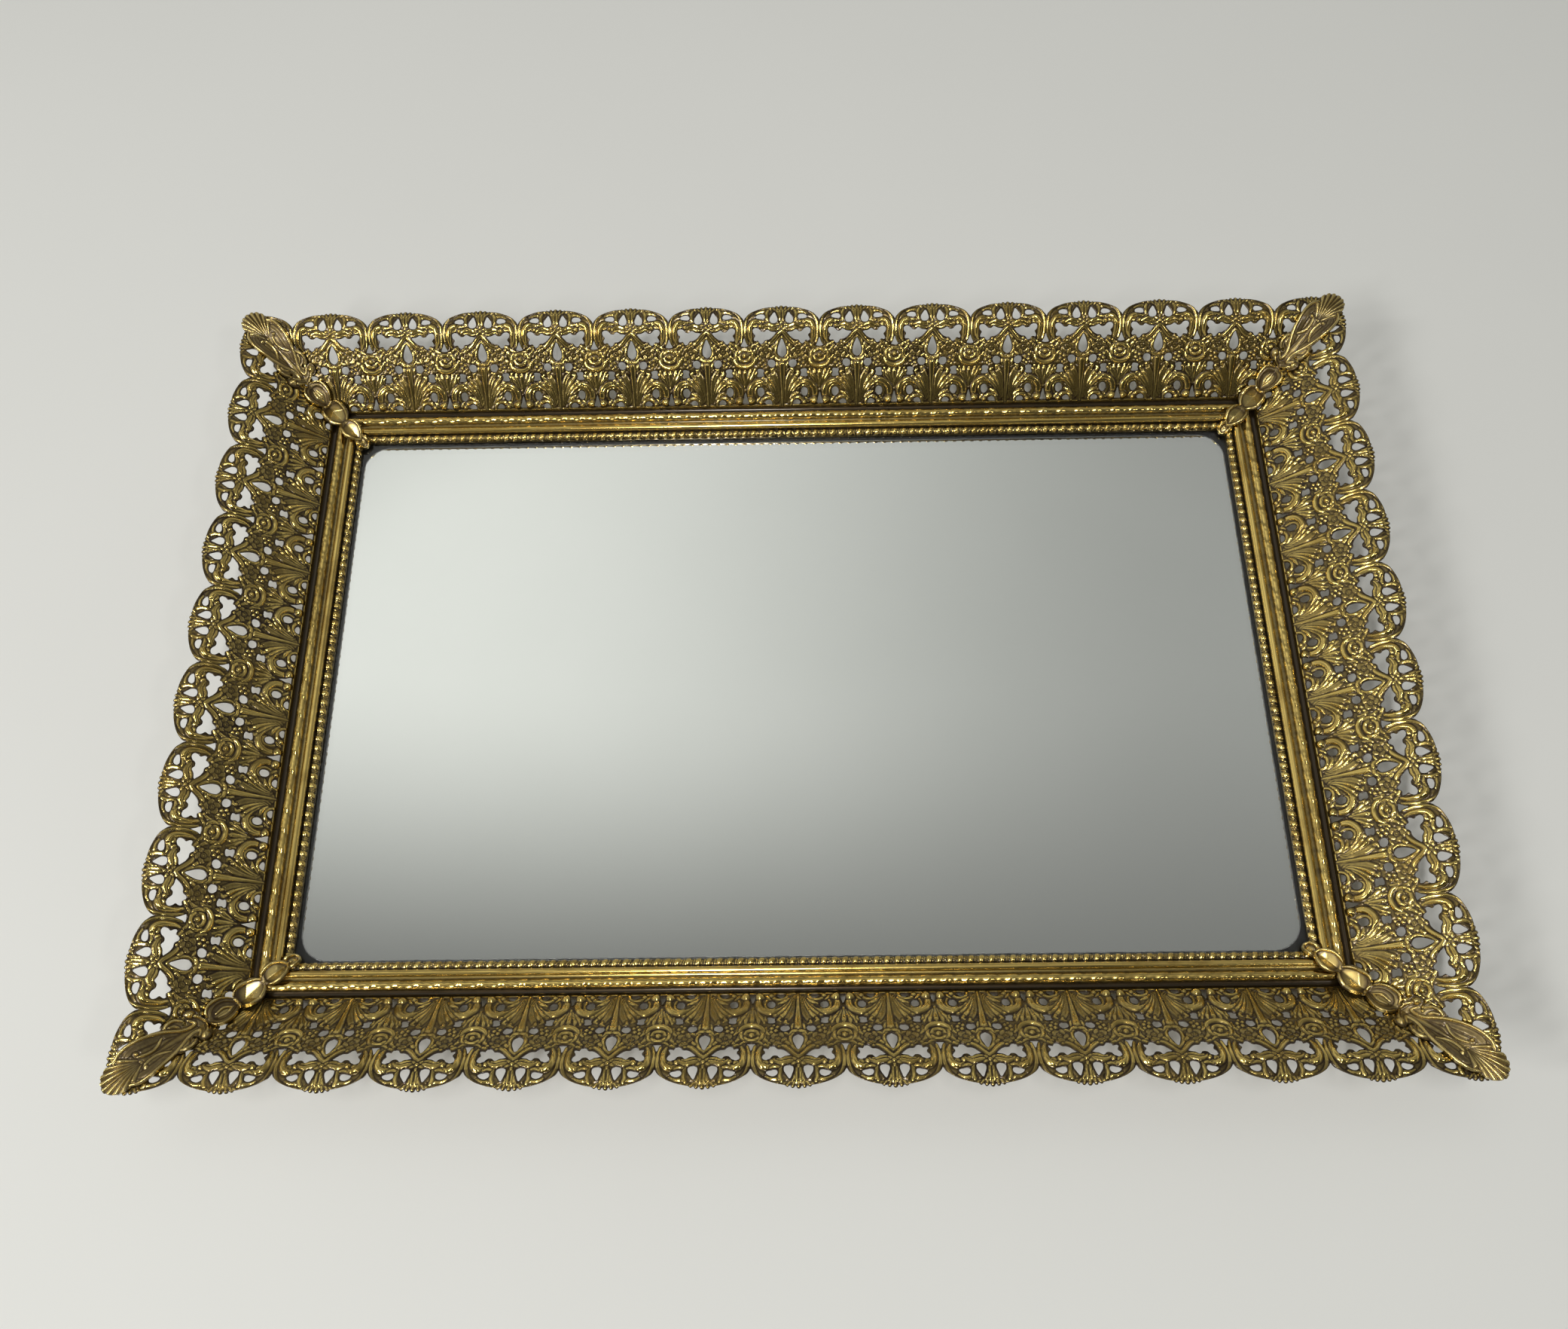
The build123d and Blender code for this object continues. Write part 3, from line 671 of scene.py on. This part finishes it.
def rail(side, material):
    """A length of moulding, cut at its mitres, with the rope's twist and the beads pressed into it."""
    out, along, reach, half = side_axes(side)
    section = rail_section()
    e, z = section[:, 0] * MM, section[:, 1] * MM
    bead, rope, wear_and_shade = section[:, 2], section[:, 3], section[:, 4]
    tangent = np.gradient(section[:, :2], axis=0)
    tangent /= np.hypot(tangent[:, 0], tangent[:, 1])[:, None]
    normal = np.stack([-tangent[:, 1], tangent[:, 0]], 1)
    step = 0.42 * MM
    count = int(2 * half / step)
    share = np.linspace(-1, 1, count)[:, None]
    place = share * (half + e)[None, :]
    angle = 2 * pi * (place / ROPE_PITCH - 0.34 * rope[None, :])
    strand = 0.62 * np.cos(angle) + 0.38 * np.cos(2 * angle + 0.7)
    twist = ROPE_DEPTH * strand * (np.sin(pi * rope) ** 0.5)[None, :]
    ball = (place / BEAD_PITCH - 0.22 * bead[None, :]) % 1.0 - 0.5
    body = np.sqrt(np.clip(1 - (ball / 0.25) ** 2, 0, 1))
    reel = 0.62 * np.clip(1.3 * np.cos(2 * pi * (np.abs(ball) - 0.41) / 0.17), 0, 1) * (np.abs(ball) > 0.27)
    pearl = BEAD_DEPTH * (np.maximum(body, reel) - 0.5) * (np.sin(pi * bead) ** 0.6)[None, :]
    lift = twist * (rope > 0) + pearl * (bead > 0)
    outward = reach + e[None, :] + lift * normal[None, :, 0]
    up = z[None, :] + lift * normal[None, :, 1]
    points = outward[..., None] * out + place[..., None] * along + up[..., None] * np.array([0, 0, 1.0])
    columns = len(section)
    number = np.arange(count * columns).reshape(count, columns)
    a, b = number[:-1], np.roll(number, -1, 1)[:-1]
    c, d = np.roll(number, -1, 1)[1:], number[1:]
    faces = np.stack([a.ravel(), d.ravel(), c.ravel(), b.ravel()], 1).tolist()
    faces += [number[0].tolist(), number[-1][::-1].tolist()]
    exposure_and_shade = wear_and_shade[None, :] + lift / (ROPE_DEPTH * 2) * ((rope > 0) + (bead > 0))
    points = points.reshape(-1, 3)
    piece = mesh_piece(side + "_rail_moulding", points, faces, [material], exposure_and_shade.ravel(), crease=40)
    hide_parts(side + "_rail")
    return piece


# ---- corner covers: a stamped leaf bent to a V over each mitre ----------------------------------
LEAF = 0.030
LEAF_LOW, LEAF_HIGH = -0.72, 1.46
LEAF_HALF = 0.25
FOLD = 0.45                              # extra slope of the leaf's two halves over the rails
FOLD_END = 7.0 * MM                      # where it ends, beyond the rails' corner


def press_leaf(die):
    """Half of the leaf's relief: across from its midline, then along the tray's diagonal."""
    a = LEAF
    die.stroke([(0.0, -0.69), (0.065, -0.655), (0.075, -0.59), (0.05, -0.555)], [0.02, 0.024, 0.016], a)
    die.ball((0, -0.60), 0.05, a * 0.9)
    die.ball((0, -0.405), 0.118, a * 0.10, 0.88, 0.8)
    die.ball((0, -0.085), 0.150, a * 0.10, 0.85, 0.8)
    die.stroke([(0.0, -0.545), (0.07, -0.52), (0.112, -0.44), (0.112, -0.36), (0.085, -0.285),
                (0.055, -0.25)], [0.016, 0.019, 0.021, 0.019, 0.014], a * 1.15)
    die.stroke([(0.055, -0.25), (0.10, -0.195), (0.138, -0.10), (0.142, -0.01), (0.115, 0.05),
                (0.075, 0.075)], [0.014, 0.019, 0.021, 0.019, 0.014], a * 1.15)
    die.stroke([(0.0, 0.085), (0.06, 0.075), (0.11, 0.10)], [0.018, 0.016, 0.012], a * 0.9)
    die.stroke([(0.085, 0.08), (0.13, 0.13), (0.150, 0.20), (0.142, 0.29), (0.10, 0.345), (0.05, 0.37)],
               [0.014, 0.018, 0.021, 0.018, 0.012], a * 1.1)
    die.ball((0, 0.215), 0.115, a * 0.30, 0.85, 0.7)
    die.stroke([(0, 0.13), (0.045, 0.20), (0.03, 0.29)], [0.012, 0.018, 0.010], a * 0.9, gloss=0.8)
    die.ball((0.155, 0.45), 0.046, a * 1.6)
    die.stroke([(0.03, 0.40), (0.08, 0.405), (0.12, 0.43)], [0.02, 0.022, 0.018], a * 0.9)
    die.stroke([(0.135, 0.535), (0.182, 0.58), (0.188, 0.64), (0.150, 0.705), (0.125, 0.72)],
               [0.010, 0.018, 0.020, 0.014, 0.008], a * 1.15)
    die.stroke([(0.10, 0.60), (0.135, 0.62), (0.15, 0.66)], [0.012, 0.022, 0.012], a * 0.6, gloss=0.5)
    die.stroke([(0.062, 0.66), (0.112, 0.755), (0.142, 0.86), (0.155, 0.97), (0.142, 1.07), (0.110, 1.12)],
               [0.012, 0.036, 0.048, 0.046, 0.034, 0.014], a * 0.7, "spoon", 0.45)
    die.stroke([(0.100, 0.765), (0.055, 0.84), (0.040, 0.91), (0.055, 0.985), (0.085, 1.02)],
               [0.008, 0.014, 0.016, 0.016, 0.018], a * 1.1)
    die.ball((0.098, 1.005), 0.024, a * 1.2)
    die.stroke([(0.0, 0.50), (0.0, 0.62), (0.0, 0.76), (0.0, 0.93)],
               [0.024, 0.044, 0.036, 0.010], a * 0.9, "vein", 0.5)
    die.stroke([(0.015, 1.02), (0.045, 1.11), (0.085, 1.18), (0.125, 1.205)],
               [0.010, 0.016, 0.016, 0.010], a * 1.1)
    for turn in range(5):
        lean = 0.29 * turn
        foot = (0.045 * sin(lean), 1.03 + 0.02 * cos(lean))
        tip = (0.36 * sin(lean) * 0.62, 1.05 + 0.36 * cos(lean * 0.88))
        middle = ((foot[0] + tip[0]) * 0.52, (foot[1] + tip[1]) / 2)
        die.stroke([foot, middle, tip], [0.008, 0.024, 0.036], a, gloss=0.6)
    die.stroke([(0.115, 0.50), (0.060, 0.475), (0.044, 0.53), (0.062, 0.60), (0.118, 0.68), (0.170, 0.78),
                (0.204, 0.90), (0.214, 1.02), (0.196, 1.13), (0.150, 1.20)],
               [0.012, 0.018, 0.020, 0.020, 0.021, 0.022, 0.020, 0.014], a * 1.5)


def leaf_material(x, y):
    """Distance into the leaf's metal from its outline, in pitches."""
    metal = np.full(x.shape, -9.0)
    segments = ((-0.60, 0.095, 0.09), (-0.405, 0.15, 0.135), (-0.085, 0.185, 0.16), (0.225, 0.165, 0.165))
    for at, length, width in segments:
        metal = np.maximum(metal, (1 - np.hypot(x / width, (y - at) / length)) * width)
    metal = np.maximum(metal, 0.058 - np.hypot(x - 0.15, y - 0.45))
    metal = np.maximum(metal, 0.050 - np.hypot((x - 0.155) / 1.0, (y - 0.625) / 2.0))
    body = closed_path([(0.05, 0.40), (0.135, 0.42), (0.14, 0.50), (0.085, 0.55), (0.15, 0.60),
                        (0.165, 0.70), (0.195, 0.80), (0.222, 0.92), (0.232, 1.03), (0.215, 1.13),
                        (0.170, 1.20), (0.165, 1.27), (0.138, 1.34), (0.09, 1.395), (0.045, 1.415),
                        (0, 1.43), (-0.2, 1.30), (-0.2, 0.9), (-0.2, 0.5), (-0.1, 0.38)])
    return np.maximum(metal, -inside_distance(x, y, body))


leaf_die = Die((0, 0.26), (-0.74, 1.48), 0.3 * LEAF, 1.3)
press_leaf(leaf_die)
leaf_metal = leaf_material(leaf_die.x, leaf_die.y)


def cover_height(e):
    """Height of a cover's underside above the tray's, by the place outward from the rail's face."""
    gap = 0.55 * MM
    reach = np.linspace(-17 * MM, 40 * MM, 1200)
    knots = [(-17, LIP_TOP / MM + 0.1), (-12.9, LIP_TOP / MM + 0.1), (-11.4, GROOVE_Z / MM - 1.7),
             (-8.8, GROOVE_Z / MM - 0.2), (-5.2, GROOVE_Z / MM + 0.8), (0.3, GROOVE_Z / MM + 0.8)]
    places, heights = np.array(knots).T * MM
    sloping = GROOVE_Z + reach * tan(SLOPE) + gap / cos(SLOPE)
    radius = FLARE_RADIUS + gap
    centre = GROOVE_Z + RIM_RISE - FLARE_RADIUS
    flared = centre + np.sqrt(np.clip(radius**2 - np.clip(RIM_REACH - reach, 0, radius) ** 2, 0, None))
    start = RIM_REACH - radius * sin(SLOPE)
    beyond = np.where(reach < start, sloping, flared)
    height = np.where(reach < places[-1], np.interp(reach, places, heights), beyond)
    soft = np.ones(17) / 17
    smooth = np.convolve(np.pad(height, 8, "edge"), soft, "valid")
    return np.interp(e, reach, smooth)


def cover(corner, material):
    """The leaf over one corner."""
    sign_x, sign_y = CORNERS[corner]
    step = 1 / 150
    half_count = int(LEAF_HALF / step)
    xs = np.arange(-half_count, half_count + 1) * step
    ys = np.arange(LEAF_LOW, LEAF_HIGH, step)
    x, y = np.meshgrid(xs, ys)
    flat, faces = cut_sheet(xs, ys, leaf_die.sample(leaf_metal, np.abs(x), y))
    relief = leaf_die.sample(leaf_die.height, np.abs(flat[:, 0]), flat[:, 1])
    polish_and_shade = np.tile(leaf_die.sample(leaf_die.polish_and_shade, np.abs(flat[:, 0]), flat[:, 1]), 2)
    across, diagonal = flat[:, 0] * PITCH, flat[:, 1] * PITCH
    bend = 0.25 * MM
    spread = np.sqrt(across**2 / 2 + bend**2) - bend
    e = diagonal / sqrt(2) + spread
    nudge = 0.05 * MM
    height = cover_height(e)
    rise = (cover_height(e + nudge) - height) / nudge
    tilt = across / 2 / (spread + bend)
    fold = FOLD * np.clip(1 - diagonal / FOLD_END, 0, 1)
    fall = (rise + fold) * tilt
    out = np.array([sign_x, sign_y, 0]) / sqrt(2)
    side = np.array([-sign_y, sign_x, 0]) / sqrt(2)
    normal = np.array([0, 0, 1.0]) - (rise / sqrt(2))[:, None] * out - fall[:, None] * side
    normal /= np.linalg.norm(normal, axis=1)[:, None]
    rail_corner = np.array([sign_x * BASE_X, sign_y * BASE_Y, 0])
    base = rail_corner + np.outer(diagonal, out) + np.outer(across, side)
    base[:, 2] = height + fold * spread
    front = base + normal * (METAL + relief * PITCH)[:, None]
    if sign_x * sign_y < 0:
        faces = [face[::-1] for face in faces]
    points, faces, cut_faces = thick_sheet(front, base, faces)
    piece = mesh_piece("corner_leaf_" + corner, points, faces, [material], polish_and_shade, flat_faces=cut_faces)
    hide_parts("corner_cover_" + corner)
    return piece


# ---- mirror: a glass slab, silvered underneath --------------------------------------------------
def silver():
    """Silvering, with a dark border and rounded dark corners, partly the silver painted out and partly
    painted shade and painted reflection of the frame's lip, and a few faint hazy patches.
    """
    s = Shader("silvering")
    split = s.add("ShaderNodeSeparateXYZ")
    s.join(s.place, split.inputs[0])
    radius = 10.0 * MM
    inset = 1.0 * MM
    squares = []
    for place, half in zip(split.outputs, (BASE_X, BASE_Y)):
        straight = half - RAIL_WIDTH - inset - radius
        over = s.maths("MAXIMUM", s.maths("SUBTRACT", s.maths("ABSOLUTE", place), straight), 0.0)
        squares.append(s.maths("MULTIPLY", over, over))
    out = s.maths("SQRT", s.maths("ADD", *squares))
    # painted shade and painted reflection: the dark border and rounded corners stand partly for the silver's
    # painted-out edge and partly for the lip's shadow and its reflection
    patchy = s.maths("MULTIPLY", s.maths("SUBTRACT", s.noise(300.0, 4.0), 0.5), 0.5 * MM)
    painted_out_and_shade = s.ranged(s.maths("ADD", out, patchy), radius - 0.3 * MM, radius + 0.5 * MM)
    tint = s.mix(s.noise(14.0, 2.0), (0.83, 0.84, 0.82), (0.88, 0.885, 0.87))
    s.give("Base Color", s.mix(painted_out_and_shade, tint, (0.02, 0.018, 0.015)))
    s.give("Metallic", s.maths("SUBTRACT", 1.0, painted_out_and_shade))
    haze = s.ranged(s.noise(60.0, 5.0, roughness=0.7), 0.62, 0.80, 0.0, 0.05)
    rough = s.maths("ADD", s.maths("ADD", haze, 0.012), s.maths("MULTIPLY", painted_out_and_shade, 0.5))
    s.give("Roughness", rough)
    return s.material


def glass():
    """Clear glass with fine wipe marks."""
    s = Shader("mirror_glass_clear")
    s.give("Base Color", (0.985, 0.995, 0.985, 1))
    s.give("Transmission Weight", 1.0)
    s.give("IOR", 1.5)
    wipe = s.noise(40.0, 5.0, (1, 9, 1))
    s.give("Roughness", s.ranged(wipe, 0.45, 0.75, 0.0, 0.02))
    return s.material


def mirror():
    """The pane: seamed edges, silver on its underside."""
    seam = 0.5 * MM
    corner = 3.0 * MM
    above_card = 0.06 * MM
    rings = [(0, GLASS_LOW + above_card), (0, GLASS_HIGH - seam), (seam, GLASS_HIGH)]
    points, faces = [], []
    steps = 6
    for inset, z in rings:
        for quarter in range(4):
            for k in range(steps + 1):
                angle = pi / 2 * (quarter + k / steps)
                centre_x = (PANE_X - corner) * (1 if quarter in (0, 3) else -1)
                centre_y = (PANE_Y - corner) * (1 if quarter in (0, 1) else -1)
                radius = corner - inset
                points.append((centre_x + radius * cos(angle), centre_y + radius * sin(angle), z))
    count = 4 * (steps + 1)
    for ring in range(len(rings) - 1):
        for k in range(count):
            here, there = ring * count + k, ring * count + (k + 1) % count
            faces.append([here, there, there + count, here + count])
    faces.append(list(range(2 * count, 3 * count)))
    faces.append(list(reversed(range(count))))
    piece = mesh_piece("mirror_pane", points, faces, [glass(), silver()], crease=20)
    piece.data.polygons[len(faces) - 1].material_index = 1
    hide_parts("mirror_glass")
    return piece


# ---- felt: a thin napped pad glued under the frame ----------------------------------------------
def felt_cloth():
    """Brown felt: matted fibres, faded unevenly."""
    s = Shader("felt_cloth")
    fibre = s.noise(2600.0, 6.0, (1, 1, 1), 0.7)
    strand = s.noise(900.0, 4.0, (1, 5, 1), 0.6)
    fade = s.noise(22.0, 3.0)
    nap = s.maths("ADD", s.maths("MULTIPLY", fibre, 0.6), s.maths("MULTIPLY", strand, 0.4))
    colour = s.mix(s.ranged(nap, 0.3, 0.7), (0.045, 0.028, 0.020), (0.115, 0.078, 0.058))
    faded = s.maths("MULTIPLY", s.ranged(fade, 0.35, 0.75), 0.35)
    s.give("Base Color", s.mix(faded, colour, (0.14, 0.11, 0.09)))
    s.give("Roughness", 0.95)
    s.give("Sheen Weight", 0.35)
    s.give("Sheen Roughness", 0.5)
    s.bump(nap, 0.0004, 0.8)
    return s.material


def felt():
    """The pad, with a soft rounded edge and a slightly uneven nap."""
    spacing = 2.5 * MM
    nx, ny = int(2 * FELT_X / spacing), int(2 * FELT_Y / spacing)
    xs, ys = np.linspace(-FELT_X, FELT_X, nx), np.linspace(-FELT_Y, FELT_Y, ny)
    x, y = np.meshgrid(xs, ys)
    edge = np.minimum(FELT_X - np.abs(x), FELT_Y - np.abs(y))
    fluff = rng.normal(0, 0.035 * MM, x.shape) * (edge > 0)
    roll = np.clip(edge / spacing, 0, 1)
    top = np.stack([x, y, FELT_TOP * (0.82 + 0.18 * roll)], -1).reshape(-1, 3)
    under = np.stack([x, y, 0.12 * MM * (1 - roll) + np.abs(fluff)], -1).reshape(-1, 3)
    number = np.arange(nx * ny).reshape(ny, nx)
    corners = (number[:-1, :-1], number[:-1, 1:], number[1:, 1:], number[1:, :-1])
    faces = np.stack([c.ravel() for c in corners], 1).tolist()
    points, faces, _ = thick_sheet(top, under, faces)
    piece = mesh_piece("felt_pad", points, faces, [felt_cloth()], crease=60)
    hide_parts("felt_base")
    return piece


# ---- hidden pieces that keep their CAD shape ----------------------------------------------------
def paper(name, light, dark, fibre_scale):
    """Pressed fibre board or card."""
    s = Shader(name)
    grain = s.noise(fibre_scale, 5.0, (1, 4, 1), 0.65)
    s.give("Base Color", s.mix(s.ranged(grain, 0.3, 0.7), dark, light))
    s.give("Roughness", 0.9)
    s.bump(grain, 0.0002, 0.6)
    return s.material


def dress(node, material):
    """Gives a CAD node its material."""
    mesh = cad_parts[node].data
    mesh.materials.clear()
    mesh.materials.append(material)


# the dark colours go in the grooves and along cut edges: partly tarnish, partly painted shade
gilt_gallery = gilt("gilt_gallery", (0.76, 0.56, 0.16), (0.030, 0.015, 0.004), 0.45, 0.15, 0.85)
gilt_rail = gilt("gilt_rail", (0.80, 0.58, 0.17), (0.034, 0.021, 0.007), 0.30, 0.17, 0.74)
gilt_leaf = gilt("gilt_leaf", (0.74, 0.57, 0.21), (0.085, 0.054, 0.022), 0.5, 0.25, 0.70)
for each_side in OUTWARD:
    gallery(each_side, gilt_gallery)
    rail(each_side, gilt_rail)
for each_corner in CORNERS:
    cover(each_corner, gilt_leaf)
mirror()
felt()
dress("backing_board", paper("fibre_board", (0.30, 0.21, 0.12), (0.16, 0.10, 0.055), 500.0))
dress("card_spacer", paper("grey_card", (0.42, 0.40, 0.36), (0.28, 0.26, 0.23), 900.0))
gilt_key = gilt("key_brass", (0.55, 0.42, 0.22), (0.16, 0.11, 0.06), 0.7, 0.4, has_relief=False)
for each_corner in CORNERS:
    dress("corner_key_" + each_corner, gilt_key)


# ---- floor, light and camera ------------------------------------------------------------------
def floor_sheet():
    """A plain pale round floor, which ends where the room is about as bright."""
    reach, steps = 1.6, 96
    mesh = bpy.data.meshes.new("floor")
    turns = [2 * pi * k / steps for k in range(steps)]
    mesh.from_pydata([(reach * cos(turn), reach * sin(turn), 0) for turn in turns], [], [list(range(steps))])
    floor = bpy.data.objects.new("floor", mesh)
    bpy.context.scene.collection.objects.link(floor)
    paint = Shader("floor_paint")
    paint.give("Base Color", paint.mix(paint.noise(6.0, 3.0), (0.76, 0.755, 0.715), (0.79, 0.785, 0.745)))
    paint.give("Roughness", 0.85)
    mesh.materials.append(paint.material)


def room():
    """A plain room as light by direction: a wash high over the back, brighter to the left, a dimmer one all
    round that fades to the front, a pale band along the horizon and a soft glow on the left."""
    world = bpy.data.worlds.new("room")
    bpy.context.scene.world = world
    world.use_nodes = True
    sky = Shader.__new__(Shader)
    sky.tree = world.node_tree
    toward = sky.add("ShaderNodeTexCoord").outputs["Generated"]
    split = sky.add("ShaderNodeSeparateXYZ")
    sky.join(toward, split.inputs[0])
    x, y, z = split.outputs

    left = sky.add("ShaderNodeVectorMath", operation="DOT_PRODUCT")
    sky.join(toward, left.inputs[0])
    left.inputs[1].default_value = Vector((-0.86, 0.28, 0.43)).normalized()
    above_back = sky.maths("MULTIPLY", sky.ranged(y, 0.10, 0.36), sky.ranged(z, 0.70, 0.85))
    level = sky.maths("MULTIPLY", above_back, sky.ranged(x, -0.32, 0.34, 0.66, 0.16))
    fades_forward = sky.ranged(y, -0.35, 0.20, 0.03, 0.22)
    around = sky.maths("MULTIPLY", fades_forward, sky.ranged(z, 0.0, 0.5, 0.5, 1.0))
    horizon = sky.ranged(z, 0.05, 0.52, 0.48, 0.0)
    left_glow = sky.ranged(left.outputs["Value"], cos(radians(28)), cos(radians(8)), 0.0, 0.42)
    for more in (around, horizon, left_glow):
        level = sky.maths("ADD", level, more)
    background = sky.tree.nodes["Background"]
    background.inputs["Color"].default_value = (0.985, 1.0, 0.955, 1)
    sky.join(level, background.inputs["Strength"])


def lamp(name, place, width, depth, watts, aim=(0, 0, 0)):
    """A rectangular lamp that faces a point."""
    light = bpy.data.lights.new(name, "AREA")
    light.shape = "RECTANGLE"
    light.size, light.size_y = width, depth
    light.energy = watts
    thing = bpy.data.objects.new(name, light)
    thing.location = place
    thing.rotation_euler = (Vector(aim) - Vector(place)).to_track_quat("-Z", "Y").to_euler()
    bpy.context.scene.collection.objects.link(thing)


def studio():
    """Floor, room and lamps: three panes at the front left, a strip over the front and a small pane."""
    floor_sheet()
    room()
    for k in range(3):
        lamp("pane_%d" % k, (-1.36 + 0.16 * k, -0.36 - 0.30 * k, 1.25), 0.15, 0.34, 4.6)
    lamp("strip_above", (-0.10, -0.42, 1.6), 0.10, 0.78, 9.0)
    lamp("pane_right", (0.95, -0.75, 1.5), 0.20, 0.14, 2.0)
    bpy.context.scene.view_settings.view_transform = "Standard"


def photo_camera():
    """The viewpoint: above the front edge, looking down at the mirror through a wide phone lens."""
    data = bpy.data.cameras.new("camera")
    data.sensor_width = 36.0
    data.lens = 28.39
    camera = bpy.data.objects.new("camera", data)
    groove = Vector((0, 0, GROOVE_Z))
    place = groove + Vector((0.0311, -5.6112, 14.2185)) * PITCH
    target = groove + Vector((-0.1388, 0.0968, 0)) * PITCH
    roll = radians(-2.40)
    aim = (target - place).to_track_quat("-Z", "Y").to_matrix().to_4x4()
    camera.matrix_world = Matrix.Translation(place) @ aim @ Matrix.Rotation(roll, 4, "Z")
    bpy.context.scene.collection.objects.link(camera)
    bpy.context.scene.camera = camera


studio()
photo_camera()
